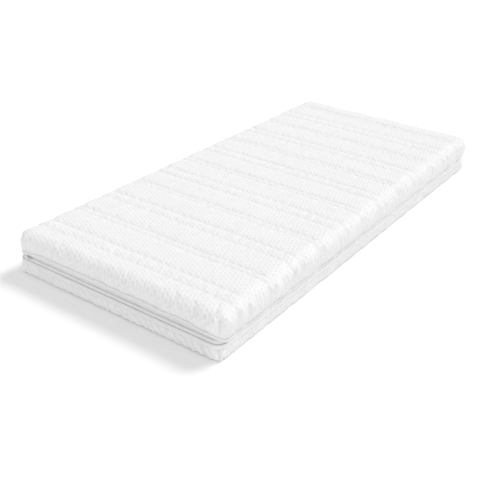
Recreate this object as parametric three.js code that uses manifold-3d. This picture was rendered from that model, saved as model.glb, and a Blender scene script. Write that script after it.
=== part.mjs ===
// Memory foam mattress: foam core in a liner, inside a quilted cover that zips into two halves.
// Millimetres, +Z up, the underside at z = 0, the long side along Y.
import * as THREE from "three";
import { mergeVertices } from "three/addons/utils/BufferGeometryUtils.js";
import Module from "manifold-3d";

const wasm = await Module();
wasm.setup();

// Overall sizes
const mattressWidth = 900;
const mattressLength = 2000;
const mattressHeight = 160;
const cornerRadius = 40;
const baseCornerRadius = 18;
const topEdgeRadius = 36;
const bottomEdgeRadius = 10;

// Cover and core layers, counted inwards from the outer face
const fabricThickness = 1.6;
const waddingThickness = 7;
const backingThickness = 0.8;
const linerThickness = 0.8;
const linerOpening = 36;
const memoryFoamHeight = 40;

// Clearances
const seamGap = 0.3;
const coreGap = 0.5;
const foamGap = 0.4;

// Zip: one run round all four sides
const zipHeight = 72;
const coilDepth = 2.4;
const coilHeight = 2.6;
const coilSpacing = 1.6;
const tapeThickness = 0.8;
const tapeReach = 20;
const hemReach = 19;
const flapDrop = 33;
const cornerDropShare = 0.3;
const hemFade = 140;
const upperHemHeight = 7;
const hemClearance = 0.7;
const lowerHemReach = 15;
const lowerHemHeight = 15;

// Slider and pull tab
const sliderLength = 14;
const sliderHeight = 11;
const sliderPlate = 1.3;
const sliderBackPlate = 1.0;
const sliderBridgeLength = 4;
const sliderBridgeHeight = 1.0;
const tabBarRadius = 0.6;
const tabLength = 20;
const tabWidth = 6;
const tabWindow = 3.8;
const archLength = 5;
const archWidth = 2.4;
const archWall = 0.7;

// Stitched corner seams
const seamRadius = 1.1;
const seamRiseShare = 0.3;

// Detail of the curves
const cornerSteps = 8;
const edgeSteps = 7;

// Values worked out from the sizes above
const waddingInset = fabricThickness + seamGap;
const backingInset = waddingInset + waddingThickness + seamGap;
const linerInset = backingInset + backingThickness + coreGap;
const foamInset = linerInset + linerThickness + foamGap;
const wallTop = zipHeight + Math.max(hemReach + upperHemHeight, tapeReach) + seamGap;
const topEdge = Math.min(topEdgeRadius, cornerRadius - 4, mattressHeight - wallTop - upperHemHeight);
const sideTop = mattressHeight - topEdge;
const lowerHemTop = zipHeight - lowerHemReach;
const lowerFabricTop = lowerHemTop - lowerHemHeight - seamGap;
const sliderBackInset = linerInset - 2 * seamGap;
const tapeInset = sliderBackInset - sliderBackPlate - seamGap - tapeThickness;
const coilInset = tapeInset - seamGap - coilDepth;
const upperHemDepth = coilInset - hemClearance;
const sliderFrontInset = coilInset - seamGap - sliderPlate;
const sliderX = -(mattressWidth / 2 - cornerRadius - sliderLength / 2 - 5);

// Lower edge of the upper hem, and a band of even height
const hemLow = (drop) => zipHeight + hemReach - flapDrop * drop;
const level = (z) => () => z;

// Radius of the corners in plan: tight at the base, full from the lower hem upwards
function cornerAt(z) {
  const share = Math.min(Math.max(z / lowerFabricTop, 0), 1);
  return baseCornerRadius + (cornerRadius - baseCornerRadius) * share;
}

// How far the upper hem hangs over the zip: 1 on the long sides, 0 along the short sides
function outlineSteps() {
  const steps = [];
  for (let corner = 0; corner < 4; corner += 1) {
    for (let i = 0; i <= cornerSteps; i += 1) {
      const share = i / cornerSteps;
      const fromLong = corner % 2 === 0 ? share : 1 - share;
      const drop = 1 + (cornerDropShare - 1) * fromLong;
      steps.push({ corner, angle: (corner + share) * Math.PI / 2, drop, fade: false });
    }
    if (corner % 2 === 0) {
      const side = corner === 0 ? 1 : -1;
      steps.push({ corner, side, along: side, drop: 0, fade: true });
      steps.push({ corner, side, along: -side, drop: 0, fade: true });
    }
  }
  return steps;
}
const outline = outlineSteps();

// One ring of the outline, set in from the outer face by inset; height may vary along it
function ring(inset, heightAt, cornerFor = cornerAt) {
  return outline.map((step) => {
    const z = typeof heightAt === "function" ? heightAt(step.drop) : heightAt;
    const halfWidth = mattressWidth / 2 - inset;
    const halfLength = mattressLength / 2 - inset;
    if (step.fade) {
      return [step.along * (mattressWidth / 2 - hemFade), step.side * halfLength, z];
    }
    const radius = cornerFor(z) - inset;
    const signX = step.corner === 0 || step.corner === 3 ? 1 : -1;
    const signY = step.corner < 2 ? 1 : -1;
    const x = signX * (halfWidth - radius) + radius * Math.cos(step.angle);
    const y = signY * (halfLength - radius) + radius * Math.sin(step.angle);
    return [x, y, z];
  });
}

// Joins a stack of rings into one closed solid; a looped stack closes on itself
function loft(rings, looped) {
  const count = rings[0].length;
  const positions = rings.flat(2);
  const index = [];
  const last = looped ? rings.length : rings.length - 1;
  for (let i = 0; i < last; i += 1) {
    const next = (i + 1) % rings.length;
    for (let j = 0; j < count; j += 1) {
      const k = (j + 1) % count;
      index.push(i * count + j, i * count + k, next * count + k);
      index.push(i * count + j, next * count + k, next * count + j);
    }
  }
  if (!looped) {
    const end = (rings.length - 1) * count;
    for (let j = 1; j < count - 1; j += 1) {
      index.push(0, j + 1, j);
      index.push(end, end + j, end + j + 1);
    }
  }
  const geometry = new THREE.BufferGeometry();
  geometry.setAttribute("position", new THREE.Float32BufferAttribute(positions, 3));
  geometry.setIndex(signedVolume(positions, index) < 0 ? index.reverse() : index);
  geometry.computeVertexNormals();
  return geometry;
}

function signedVolume(positions, index) {
  let total = 0;
  const at = (n) => new THREE.Vector3().fromArray(positions, 3 * n);
  for (let i = 0; i < index.length; i += 3) {
    total += at(index[i]).dot(at(index[i + 1]).cross(at(index[i + 2])));
  }
  return total / 6;
}

// Rounded top edge at one layer, from the flat top outwards
function topArc(layer, cornerFor = cornerAt) {
  const rings = [];
  for (let i = 0; i <= edgeSteps; i += 1) {
    const angle = Math.PI / 2 * (1 - i / edgeSteps);
    const reach = topEdge - layer;
    const inset = topEdge - reach * Math.cos(angle);
    rings.push(ring(inset, sideTop + reach * Math.sin(angle), cornerFor));
  }
  return rings;
}

// Rounded bottom edge at one layer, from the side inwards; square once the radius is used up
function bottomArc(layer, cornerFor = cornerAt) {
  const reach = bottomEdgeRadius - layer;
  if (reach <= 0.5) {
    return [ring(layer, layer, cornerFor)];
  }
  const rings = [];
  for (let i = 0; i <= edgeSteps - 3; i += 1) {
    const angle = Math.PI / 2 * i / (edgeSteps - 3);
    const inset = bottomEdgeRadius - reach * Math.cos(angle);
    rings.push(ring(inset, bottomEdgeRadius - reach * Math.sin(angle), cornerFor));
  }
  return rings;
}

// Open-bottomed box: the top and the four sides of one cover layer
function upperShell(outer, thickness, rimHeight) {
  const inner = outer + thickness;
  const rim = [ring(outer, rimHeight), ring(inner, rimHeight)];
  return loft([...topArc(outer), ...rim, ...topArc(inner).reverse()], false);
}

// Open-topped box: the underside and the low sides of one cover layer
function lowerShell(outer, thickness, rimHeight) {
  const inner = outer + thickness;
  const rim = [ring(outer, rimHeight), ring(inner, rimHeight)];
  if (rimHeight > lowerFabricTop) {
    rim.unshift(ring(outer, lowerFabricTop));
    rim.push(ring(inner, lowerFabricTop));
  }
  return loft([...bottomArc(outer).reverse(), ...rim, ...bottomArc(inner)], false);
}

// Band that runs once round the mattress, with its outer edges eased
function sideBand(outer, depth, lowAt, height, ease) {
  const inner = outer + depth;
  const rise = (extra) => (drop) => lowAt(drop) + extra;
  return loft([
    ring(inner, rise(0)),
    ring(outer + ease, rise(0)),
    ring(outer, rise(ease)),
    ring(outer, rise(height - ease)),
    ring(outer + ease, rise(height)),
    ring(inner, rise(height)),
  ], true);
}

// Solid block filling the layer's shape between two heights, with even corners so that it lifts out
function block(layer, low, high) {
  const even = () => cornerRadius;
  const rings = [];
  if (low <= layer) {
    rings.push(...bottomArc(layer, even).reverse());
  } else {
    rings.push(ring(layer, low, even));
  }
  if (high >= mattressHeight - layer) {
    rings.push(...topArc(layer, even).reverse());
  } else {
    rings.push(ring(layer, high, even));
  }
  return loft(rings, false);
}

function toManifold(geometry) {
  const bare = geometry.clone();
  bare.deleteAttribute("normal");
  bare.deleteAttribute("uv");
  const merged = mergeVertices(bare, 1e-5);
  return new wasm.Manifold(new wasm.Mesh({
    numProp: 3,
    vertProperties: new Float32Array(merged.attributes.position.array),
    triVerts: new Uint32Array(merged.index.array),
  }));
}

function toGeometry(solid) {
  const mesh = solid.getMesh();
  const geometry = new THREE.BufferGeometry();
  geometry.setAttribute("position", new THREE.BufferAttribute(new Float32Array(mesh.vertProperties), 3));
  geometry.setIndex(new THREE.BufferAttribute(new Uint32Array(mesh.triVerts), 1));
  geometry.computeVertexNormals();
  return geometry;
}

function box(sizeX, sizeY, sizeZ, x, y, z) {
  const geometry = new THREE.BoxGeometry(sizeX, sizeY, sizeZ);
  geometry.translate(x, y, z);
  return toManifold(geometry);
}

// Stretch liner: a sock round the foam, closed by a panel over its open end
function linerPieces() {
  const outer = toManifold(block(linerInset, 0, mattressHeight));
  const inner = toManifold(block(linerInset + linerThickness, 0, mattressHeight));
  const skin = outer.subtract(inner);
  const cut = mattressLength / 2 - linerInset - linerOpening;
  const beyond = (start) => box(2 * mattressWidth, mattressLength, 4 * mattressHeight,
    0, start + mattressLength / 2, 0);
  return {
    sock: toGeometry(skin.subtract(beyond(cut - seamGap))),
    panel: toGeometry(skin.intersect(beyond(cut))),
  };
}

// Zip slider: a plate each side of the coils, a bridge between the rows and an arch for the tab
function sliderBody() {
  const face = -mattressLength / 2;
  const frontY = face + sliderFrontInset + sliderPlate / 2;
  const backY = face + sliderBackInset - sliderBackPlate / 2;
  const bridgeX = -sliderLength / 2 + sliderBridgeLength / 2;
  const archRise = 2 * tabBarRadius + 2 * seamGap;
  const archY = face + sliderFrontInset - (archRise + archWall) / 2;
  const body = box(sliderLength, sliderPlate, sliderHeight, 0, frontY, 0)
    .add(box(sliderLength, sliderBackPlate, sliderHeight, 0, backY, 0))
    .add(box(sliderBridgeLength, backY - frontY, sliderBridgeHeight, bridgeX, (frontY + backY) / 2, 0))
    .add(box(archLength, archRise + archWall + 0.02, archWidth, 0, archY + 0.01, 0));
  const opening = box(archLength - 2 * archWall, archRise, archWidth + 2,
    0, face + sliderFrontInset - archRise / 2, 0);
  return toGeometry(body.subtract(opening));
}

// Pull tab: a flat tongue with a window, hung on its end bar under the slider's arch
function pullTab() {
  const shape = new THREE.Shape();
  const half = tabWidth / 2;
  shape.moveTo(-tabBarRadius, -half);
  shape.lineTo(tabLength - half, -half);
  shape.absarc(tabLength - half, 0, half, -Math.PI / 2, Math.PI / 2, false);
  shape.lineTo(-tabBarRadius, half);
  shape.lineTo(-tabBarRadius, -half);
  const window = new THREE.Path();
  const gap = archWidth / 2 + 2 * seamGap;
  window.moveTo(tabBarRadius, -gap);
  window.lineTo(tabBarRadius, gap);
  window.lineTo(tabBarRadius + tabWindow, gap);
  window.lineTo(tabBarRadius + tabWindow, -gap);
  window.lineTo(tabBarRadius, -gap);
  shape.holes.push(window);
  const geometry = new THREE.ExtrudeGeometry(shape, {
    depth: 2 * tabBarRadius,
    bevelEnabled: false,
    curveSegments: 10,
  });
  geometry.translate(0, 0, -tabBarRadius);
  geometry.rotateX(Math.PI / 2);
  return geometry;
}

// Stitched seam bead up one corner, standing just clear of the fabric
function seamBead(signX, signY, samples) {
  const points = samples.map(([inset, z]) => {
    const radius = cornerAt(z) - inset;
    const reach = radius + seamRadius + seamGap;
    const x = mattressWidth / 2 - inset - radius + reach * Math.SQRT1_2;
    const y = mattressLength / 2 - inset - radius + reach * Math.SQRT1_2;
    return new THREE.Vector3(signX * x, signY * y, z);
  });
  const disc = new THREE.Shape();
  disc.absarc(0, 0, seamRadius, 0, 2 * Math.PI, false);
  return new THREE.ExtrudeGeometry(disc, {
    steps: 2 * points.length,
    curveSegments: 5,
    bevelEnabled: false,
    extrudePath: new THREE.CatmullRomCurve3(points),
  });
}

function upperSeamSamples() {
  const low = hemLow((1 + cornerDropShare) / 2) + upperHemHeight / 4;
  const samples = [[0, low], [0, (low + sideTop) / 2], [0, sideTop]];
  const angle = Math.PI / 2 * seamRiseShare;
  for (const share of [0.5, 1]) {
    const inset = topEdge * (1 - Math.cos(angle * share));
    samples.push([inset, sideTop + topEdge * Math.sin(angle * share)]);
  }
  return samples;
}

function lowerSeamSamples() {
  const low = bottomEdgeRadius;
  return [[0, lowerHemTop - 2], [0, lowerFabricTop], [0, (lowerFabricTop + low) / 2], [0, low]];
}

function material(hex, roughness, metalness) {
  return new THREE.MeshStandardMaterial({ color: hex, roughness, metalness });
}

function addPiece(group, name, geometry, finish) {
  const mesh = new THREE.Mesh(geometry, finish);
  mesh.name = name;
  group.add(mesh);
  return mesh;
}

function coverBottom() {
  const group = new THREE.Group();
  group.name = "cover_bottom";
  const backingTop = zipHeight - tapeReach - seamGap;
  const tapeLow = zipHeight - tapeReach;
  const tapeHeight = tapeReach - coilSpacing / 2;
  const coilLow = zipHeight - coilSpacing / 2 - coilHeight;
  addPiece(group, "bottom_cover_fabric",
    lowerShell(0, fabricThickness, lowerFabricTop), material(0xf2f2f0, 0.9, 0));
  addPiece(group, "bottom_cover_wadding",
    lowerShell(waddingInset, waddingThickness, lowerFabricTop), material(0xf6f6f4, 0.95, 0));
  addPiece(group, "bottom_cover_backing",
    lowerShell(backingInset, backingThickness, backingTop), material(0xeeeeec, 0.9, 0));
  addPiece(group, "lower_hem",
    sideBand(0, tapeInset - seamGap, level(lowerHemTop - lowerHemHeight), lowerHemHeight, 1.4),
    material(0xf7f7f6, 0.8, 0));
  addPiece(group, "zip_tape_lower",
    sideBand(tapeInset, tapeThickness, level(tapeLow), tapeHeight, 0.2), material(0xf4f4f2, 0.85, 0));
  addPiece(group, "zip_coil_lower",
    sideBand(coilInset, coilDepth, level(coilLow), coilHeight, 0.5), material(0xe9e9e6, 0.5, 0));
  return group;
}

function coverTop() {
  const group = new THREE.Group();
  group.name = "cover_top";
  const hemTop = (drop) => hemLow(drop) + upperHemHeight + seamGap;
  const tapeLow = zipHeight + coilSpacing / 2;
  const tapeHeight = tapeReach - coilSpacing / 2;
  const wallLow = zipHeight + tapeReach + seamGap;
  addPiece(group, "top_cover_fabric",
    upperShell(0, fabricThickness, hemTop), material(0xf4f4f2, 0.9, 0));
  addPiece(group, "top_cover_wadding",
    upperShell(waddingInset, waddingThickness, hemTop(0)), material(0xf6f6f4, 0.95, 0));
  addPiece(group, "top_cover_backing",
    upperShell(backingInset, backingThickness, wallLow), material(0xeeeeec, 0.9, 0));
  addPiece(group, "upper_hem",
    sideBand(0, upperHemDepth, hemLow, upperHemHeight, 1.2), material(0xf7f7f6, 0.8, 0));
  addPiece(group, "zip_tape_upper",
    sideBand(tapeInset, tapeThickness, level(tapeLow), tapeHeight, 0.2), material(0xf4f4f2, 0.85, 0));
  addPiece(group, "zip_coil_upper",
    sideBand(coilInset, coilDepth, level(tapeLow), coilHeight, 0.5), material(0xe9e9e6, 0.5, 0));
  return group;
}

function foamCore() {
  const group = new THREE.Group();
  group.name = "core";
  const liner = linerPieces();
  const split = mattressHeight - foamInset - memoryFoamHeight;
  addPiece(group, "inner_liner", liner.sock, material(0xefeeea, 0.9, 0));
  addPiece(group, "liner_end_panel", liner.panel, material(0xefeeea, 0.9, 0));
  addPiece(group, "memory_foam_layer",
    block(foamInset, split + seamGap, mattressHeight), material(0xf3ead2, 0.95, 0));
  addPiece(group, "support_foam_core", block(foamInset, 0, split), material(0xe9edf0, 0.95, 0));
  return group;
}

function zipSlider() {
  const group = new THREE.Group();
  group.name = "zip_pull";
  group.position.set(sliderX, 0, zipHeight);
  addPiece(group, "zip_slider", sliderBody(), material(0xb9bcc0, 0.35, 1));
  const tab = addPiece(group, "zip_pull_tab", pullTab(), material(0x8f9398, 0.35, 1));
  tab.position.set(0, -mattressLength / 2 + sliderFrontInset - tabBarRadius - seamGap, 0);
  return group;
}

function cornerSeams() {
  const group = new THREE.Group();
  group.name = "corner_seams";
  const corners = [["near_right", 1, -1], ["far_right", 1, 1], ["far_left", -1, 1], ["near_left", -1, -1]];
  for (const [place, signX, signY] of corners) {
    addPiece(group, `upper_seam_${place}`,
      seamBead(signX, signY, upperSeamSamples()), material(0xfafaf8, 0.7, 0));
    addPiece(group, `lower_seam_${place}`,
      seamBead(signX, signY, lowerSeamSamples()), material(0xfafaf8, 0.7, 0));
  }
  return group;
}

const mattress = new THREE.Group();
mattress.name = "mattress";
mattress.add(coverBottom(), foamCore(), coverTop(), zipSlider(), cornerSeams());

export default mattress;
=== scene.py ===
import math
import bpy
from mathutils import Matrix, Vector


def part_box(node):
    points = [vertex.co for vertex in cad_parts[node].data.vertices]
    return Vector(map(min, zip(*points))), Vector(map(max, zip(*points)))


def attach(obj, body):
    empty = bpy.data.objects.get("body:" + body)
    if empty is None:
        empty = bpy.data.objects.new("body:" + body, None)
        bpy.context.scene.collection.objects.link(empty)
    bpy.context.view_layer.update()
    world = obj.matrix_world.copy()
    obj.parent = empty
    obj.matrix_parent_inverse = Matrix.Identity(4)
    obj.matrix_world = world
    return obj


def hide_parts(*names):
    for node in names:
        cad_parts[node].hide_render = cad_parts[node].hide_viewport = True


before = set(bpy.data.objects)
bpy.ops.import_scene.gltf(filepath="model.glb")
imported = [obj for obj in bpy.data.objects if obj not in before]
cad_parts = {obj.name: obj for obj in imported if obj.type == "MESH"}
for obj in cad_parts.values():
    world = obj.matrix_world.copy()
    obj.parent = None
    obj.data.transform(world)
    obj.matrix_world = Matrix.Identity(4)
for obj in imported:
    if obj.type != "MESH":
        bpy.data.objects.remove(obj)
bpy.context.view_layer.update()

from types import SimpleNamespace

import bmesh
import bpy
import numpy as np
from mathutils import Quaternion, Vector

print("frame loaded")

scene = bpy.context.scene
halfWidth, halfLength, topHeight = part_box("top_cover_fabric")[1]
tau = 2 * math.pi
rightAngle = math.pi / 2

# Outline shared by the cover, the hems and the zip, in metres
shape = {
    "cornerRadius": 0.040,      # in plan, from the lower hem upwards
    "baseCornerRadius": 0.018,  # in plan, at the underside
    "topEdge": 0.036,           # how round the edge of the top is
    "bottomEdge": 0.010,
    "cellsAcross": 94,          # cells of the simulated cloth
    "cellsAlong": 220,
    "cellsCorner": 6,
    "finer": 3,                 # cells of the final skin in each of those, along either side
}

# How the cover is quilted: pairs of stitch lines across the bed, wide and narrow by turns
quilting = {
    "firstPair": 0.120,         # from the near short side to the middle of the first pair
    "pairSpacing": 0.160,
    "pairCount": 12,
    "widePair": 0.055,          # between the two lines of a pair
    "narrowPair": 0.028,
    "grooveDepth": 0.0024,      # the crease along a line of stitches
    "grooveWidth": 0.0065,
    "valleyDepth": 0.0007,      # the wide hollow round that crease
    "valleyWidth": 0.022,
    "stray": 0.0012,            # how far a line strays to either side
    "strayLength": 0.16,
}

# The knit's dimples: three sets of waves, as turns per metre across and along the bed, and their weight
dimples = {
    "waves": ((65.0, 20.0, 1.15), (31.5, 62.0, 1.0), (33.5, -42.0, 1.0)),
    "depth": 0.0023,
    "topShare": 0.38,           # how much of that depth shows on the flat top
}

stitchLines = []
for pair in range(quilting["pairCount"]):
    middle = -halfLength + quilting["firstPair"] + quilting["pairSpacing"] * pair
    spread = quilting["widePair"] if pair % 2 == 0 else quilting["narrowPair"]
    stitchLines += [middle - spread / 2, middle + spread / 2]
stitchLines = np.array(stitchLines)


def smooth(low, high, value):
    share = np.clip((value - low) / (high - low), 0, 1)
    return share * share * (3 - 2 * share)


def ripple(u, v, size, seed, waves=9):
    # soft even noise about as wide as size, mostly from -1 to 1
    rng = np.random.default_rng(seed)
    total = 0
    for _ in range(waves):
        turn, rate, phase = rng.uniform(0, tau), rng.uniform(0.55, 1.5) * tau / size, rng.uniform(0, tau)
        total = total + np.cos(rate * (u * math.cos(turn) + v * math.sin(turn)) + phase)
    return total / math.sqrt(waves)


def pleat(turns):
    # a row of pleats, round on top with sharp valleys between, from -1 to 1
    return 2 * np.abs(np.cos(math.pi * turns)) - 1


def dimpleHeight(x, y):
    # from about -0.5 between the dimples to 1 in the middle of each
    total, weights = 0, 0
    for across, along, weight in dimples["waves"]:
        total = total + weight * np.cos(tau * (across * x + along * y))
        weights += weight
    return total / weights


def lineDistance(y):
    return np.min(np.abs(np.asarray(y)[..., None] - stitchLines), axis=-1)


def quiltDistance(x, y, seed):
    # distance to the nearest stitch line, each of which strays a little
    return lineDistance(y + quilting["stray"] * ripple(x, y, quilting["strayLength"], seed))


def quiltGroove(distance):
    crease = quilting["grooveDepth"] * np.exp(-(distance / quilting["grooveWidth"]) ** 1.4)
    return crease + quilting["valleyDepth"] * np.exp(-(distance / quilting["valleyWidth"]) ** 2)


def makeColumns(across, along, corner):
    # one column for each place round the outline, starting on the right long side
    sx, sy, turn = [], [], []
    for k, (nx, ny) in enumerate([(1, 0), (0, 1), (-1, 0), (0, -1)]):
        count = along if k % 2 == 0 else across
        t = np.arange(count) / count * 2 - 1
        sx += [nx - ny * t, np.full(corner, nx - ny, float)]
        sy += [ny + nx * t, np.full(corner, ny + nx, float)]
        turn += [np.full(count, k * rightAngle), (k + np.arange(corner) / corner) * rightAngle]
    c = SimpleNamespace(across=across, along=along, corner=corner)
    c.sx, c.sy, c.turn = np.concatenate(sx), np.concatenate(sy), np.concatenate(turn)
    c.count = len(c.turn)
    c.fromSeam = np.abs(c.turn % rightAngle - rightAngle / 2)
    c.endShare = np.sin(c.turn) ** 2                      # 1 on the short sides, 0 on the long ones
    c.atCorner = (np.abs(c.sx) == 1) & (np.abs(c.sy) == 1)
    c.gridIndex = (np.rint((c.sx + 1) / 2 * across).astype(int), np.rint((c.sy + 1) / 2 * along).astype(int))
    around = outlineRow(c, 0, 0, shape["cornerRadius"])
    gap = np.linalg.norm(np.roll(around, -1, 0) - around, axis=1)
    c.run = np.concatenate([[0], np.cumsum(gap)[:-1]])    # distance round the outline
    c.total = gap.sum()
    return c


def outlineRow(columns, inset, height, radius):
    # a row of points round the outline, set in from the outer face; all three may vary along it
    reach = radius - inset
    x = columns.sx * (halfWidth - radius) + reach * np.cos(columns.turn)
    y = columns.sy * (halfLength - radius) + reach * np.sin(columns.turn)
    return np.column_stack([x, y, np.broadcast_to(height, x.shape)])


def wallRows(columns, inset, low, steps=5):
    # rows of a wall, from a height up the side and over the edge to where the flat top starts
    edge, radius = shape["topEdge"], shape["cornerRadius"]
    reach = edge - inset
    rows = [outlineRow(columns, inset, low, radius), outlineRow(columns, inset, topHeight - edge, radius)]
    for angle in np.linspace(0, rightAngle, steps + 1)[1:]:
        over, up = reach * math.cos(angle), reach * math.sin(angle)
        rows.append(outlineRow(columns, edge - over, topHeight - edge + up, radius))
    return rows


def fabricPoint(columns, at, side, along, radius):
    # where a point lies on the cloth laid flat; along is its distance out from the flat face's edge
    sideTurn = side * rightAngle
    bend = (columns.turn[at] - sideTurn + math.pi) % tau - math.pi
    cx, cy = columns.sx[at] * (halfWidth - radius), columns.sy[at] * (halfLength - radius)
    nx, ny = np.cos(sideTurn), np.sin(sideTurn)
    return np.stack([cx + nx * along - ny * radius * bend, cy + ny * along + nx * radius * bend], -1)


def sideOf(columns, at, offset=0.0):
    return np.floor((columns.turn[at] + offset + rightAngle / 2) / rightAngle).astype(int) % 4


def gridPoints(columns, inset, height):
    x = np.linspace(-1, 1, columns.across + 1) * (halfWidth - inset)
    y = np.linspace(-1, 1, columns.along + 1) * (halfLength - inset)
    gx, gy = np.meshgrid(x, y, indexing="ij")
    return np.column_stack([gx.ravel(), gy.ravel(), np.full(gx.size, height)])


def gridFaces(first, columns, down=False):
    index = first + np.arange((columns.across + 1) * (columns.along + 1)).reshape(columns.across + 1, -1)
    corners = [index[:-1, :-1], index[1:, :-1], index[1:, 1:], index[:-1, 1:]]
    quads = np.stack([c.ravel() for c in (corners[::-1] if down else corners)], -1)
    return index[columns.gridIndex], quads


def ringFaces(rowA, rowB):
    return np.stack([rowA, rowB, np.roll(rowB, -1), np.roll(rowA, -1)], -1)


def rimFaces(fine, coarse):
    # joins a fine row to a coarser one: a fan at each coarse point, then a four-sided face
    ratio = len(fine) // len(coarse)
    steps = [np.roll(fine, -k)[::ratio] for k in range(ratio + 1)]
    fans = [np.stack([steps[k], coarse, steps[k + 1], steps[k + 1]], -1) for k in range(ratio - 1)]
    last = np.stack([steps[ratio - 1], coarse, np.roll(coarse, -1), steps[ratio]], -1)
    return np.concatenate(fans + [last])


def vertexNormals(points, quads):
    a, b, c, d = (points[quads[:, k]] for k in range(4))
    faceNormal = np.cross(c - a, d - b)
    total = np.zeros_like(points)
    for axis in range(3):
        for k in range(4):
            total[:, axis] += np.bincount(quads[:, k], faceNormal[:, axis], len(points))
    return total / np.maximum(np.linalg.norm(total, axis=1), 1e-12)[:, None]


def relax(values, quads, rounds):
    # evens out a value over neighbouring points
    ends = np.concatenate([quads[:, [0, 1]], quads[:, [1, 2]], quads[:, [2, 3]], quads[:, [3, 0]]])
    ends = ends[ends[:, 0] != ends[:, 1]]
    count = np.bincount(ends.ravel(), minlength=len(values))[:, None]
    for _ in range(rounds):
        total = np.stack([np.bincount(ends[:, 0], values[ends[:, 1], k], len(values))
                          + np.bincount(ends[:, 1], values[ends[:, 0], k], len(values))
                          for k in range(values.shape[1])], -1)
        values = 0.5 * values + 0.5 * total / count
    return values


def newPiece(name, points, quads, uv=None, material=None):
    # faces whose corners coincide become triangles; uv has one row of four places for each face
    quads = np.asarray(quads)
    keep = np.ones(quads.shape, bool)
    for k in range(1, 4):
        keep[:, k] = np.all(quads[:, k:k + 1] != quads[:, :k], axis=1)
    mesh = bpy.data.meshes.new(name)
    faces = [q[k].tolist() for q, k in zip(quads, keep)] if not keep.all() else quads.tolist()
    mesh.from_pydata(np.asarray(points).tolist(), [], faces)
    if uv is not None:
        layer = mesh.uv_layers.new(name="cloth")
        layer.data.foreach_set("uv", np.asarray(uv, np.float32)[keep].ravel())
    mesh.polygons.foreach_set("use_smooth", [True] * len(mesh.polygons))
    piece = bpy.data.objects.new(name, mesh)
    scene.collection.objects.link(piece)
    if material:
        mesh.materials.append(material)
    mesh.update()
    return piece


def ringUv(columns, alongA, alongB, radius):
    # places on the flat cloth for the faces between two rows, each face on its own side's panel
    at, after = np.arange(columns.count), (np.arange(columns.count) + 1) % columns.count
    side = sideOf(columns, at, 0.25 * rightAngle / columns.corner)
    alongA, alongB = np.broadcast_to(alongA, at.shape), np.broadcast_to(alongB, at.shape)
    corners = ((at, alongA), (at, alongB), (after, alongB[after]), (after, alongA[after]))
    return np.stack([fabricPoint(columns, place, side, along, radius) for place, along in corners], 1)


def finishPadded(piece, body, nodes):
    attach(piece, body)
    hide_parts(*nodes)


def finishSheet(piece, body, node):
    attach(piece, body)
    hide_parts(node)


# How the quilted skin is simulated
skinCloth = {
    "frames": 20,
    "mostMovement": 0.0045,     # no point goes further than this
    "settings": {
        "quality": 4,
        "mass": 0.3,
        "tension_stiffness": 12,
        "compression_stiffness": 6,
        "shear_stiffness": 4,
        "bending_stiffness": 0.6,
        "tension_damping": 8,
        "compression_damping": 8,
        "air_damping": 3,
        "vertex_group_mass": "held",
        "use_pressure": True,
        "uniform_pressure_force": 2.5,
        "shrink_min": -0.022,   # below zero the cloth is larger than the face it covers
    },
}


def puffUp(name, points, quads, held):
    # lets the cloth between its stitch lines swell and pucker, and gives how far each point moved
    piece = newPiece(name, points, quads)
    group = piece.vertex_groups.new(name="held")
    group.add([int(k) for k in np.nonzero(held)[0]], 1.0, "REPLACE")
    cloth = piece.modifiers.new("cloth", "CLOTH")
    for label, value in skinCloth["settings"].items():
        setattr(cloth.settings, label, value)
    cloth.settings.effector_weights.gravity = 0
    cloth.collision_settings.use_collision = False
    cloth.point_cache.frame_start, cloth.point_cache.frame_end = 1, skinCloth["frames"]
    for moment in range(1, skinCloth["frames"] + 1):
        scene.frame_set(moment)
    result = piece.evaluated_get(bpy.context.evaluated_depsgraph_get()).data
    moved = np.empty(len(result.vertices) * 3)
    result.vertices.foreach_get("co", moved)
    moved = moved.reshape(-1, 3) - points
    bpy.data.objects.remove(piece)
    scene.frame_set(1)
    length = np.linalg.norm(moved, axis=1)
    print(name, "simulated, moves up to", round(float(length.max()), 4), "m")
    return moved * (np.minimum(length, skinCloth["mostMovement"]) / np.maximum(length, 1e-9))[:, None]


def nodeTree(name):
    material = bpy.data.materials.new(name)
    material.use_nodes = True
    nodes, links = material.node_tree.nodes, material.node_tree.links
    nodes.clear()
    output = nodes.new("ShaderNodeOutputMaterial")
    shader = nodes.new("ShaderNodeBsdfPrincipled")
    links.new(shader.outputs["BSDF"], output.inputs["Surface"])
    return material, nodes, links, shader


def mathNode(nodes, links, kind, *values):
    node = nodes.new("ShaderNodeMath")
    node.operation = kind
    for k, value in enumerate(values):
        if isinstance(value, (int, float)):
            node.inputs[k].default_value = value
        else:
            links.new(value, node.inputs[k])
    return node.outputs[0]


def waveAlong(nodes, links, vector, direction):
    dot = nodes.new("ShaderNodeVectorMath")
    dot.operation = "DOT_PRODUCT"
    links.new(vector, dot.inputs[0])
    dot.inputs[1].default_value = [tau * part for part in direction]
    return mathNode(nodes, links, "COSINE", dot.outputs["Value"])


def bumpNode(nodes, links, height, distance, strength, under=None):
    bump = nodes.new("ShaderNodeBump")
    bump.inputs["Distance"].default_value = distance
    bump.inputs["Strength"].default_value = strength
    links.new(height, bump.inputs["Height"])
    if under is not None:
        links.new(under, bump.inputs["Normal"])
    return bump.outputs["Normal"]


def noiseNode(nodes, links, vector, size, detail=3.0):
    noise = nodes.new("ShaderNodeTexNoise")
    noise.inputs["Scale"].default_value = 1 / size
    noise.inputs["Detail"].default_value = detail
    links.new(vector, noise.inputs["Vector"])
    return noise.outputs["Fac"]


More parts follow.
